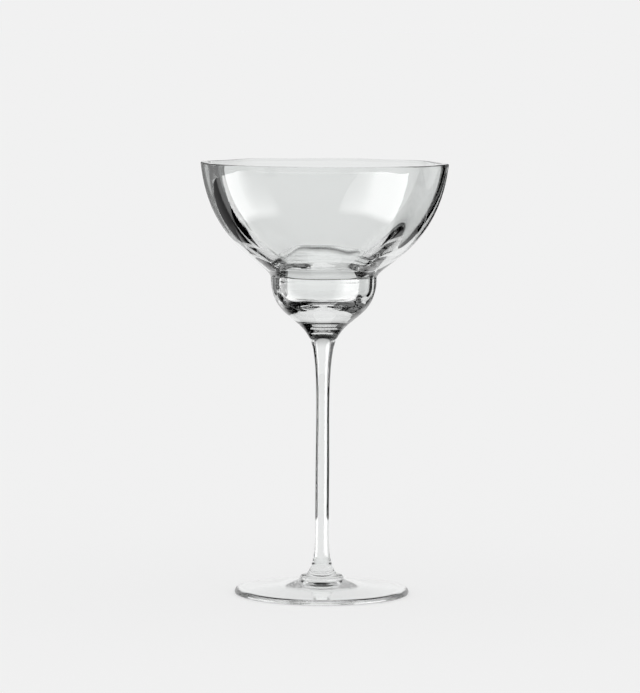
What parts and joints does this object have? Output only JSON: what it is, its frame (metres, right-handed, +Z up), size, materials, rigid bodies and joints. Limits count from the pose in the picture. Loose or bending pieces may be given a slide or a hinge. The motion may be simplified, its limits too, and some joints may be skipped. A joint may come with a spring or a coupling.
{
  "type": "margarita glass",
  "caption": "Stemmed margarita glass: wide lobed bowl, small rounded cup below its neck, slender flared stem and a round foot with a raised button.",
  "frame": {"origin": "under the middle of the foot, on the surface that the glass stands on", "axes": "+Z up along the stem, -Y towards the front, where a crest of the lobes lies"},
  "size_m": [0.1148, 0.1148, 0.1994],
  "materials": {
    "bowl_glass": "clear, fire polished",
    "stem_glass": "clear, drawn",
    "foot_glass": "clear, pressed and fire polished"
  },
  "bodies": {
    "root": {"bowl": "bowl_glass", "stem": "stem_glass", "foot": "foot_glass"}
  },
  "joints": []
}
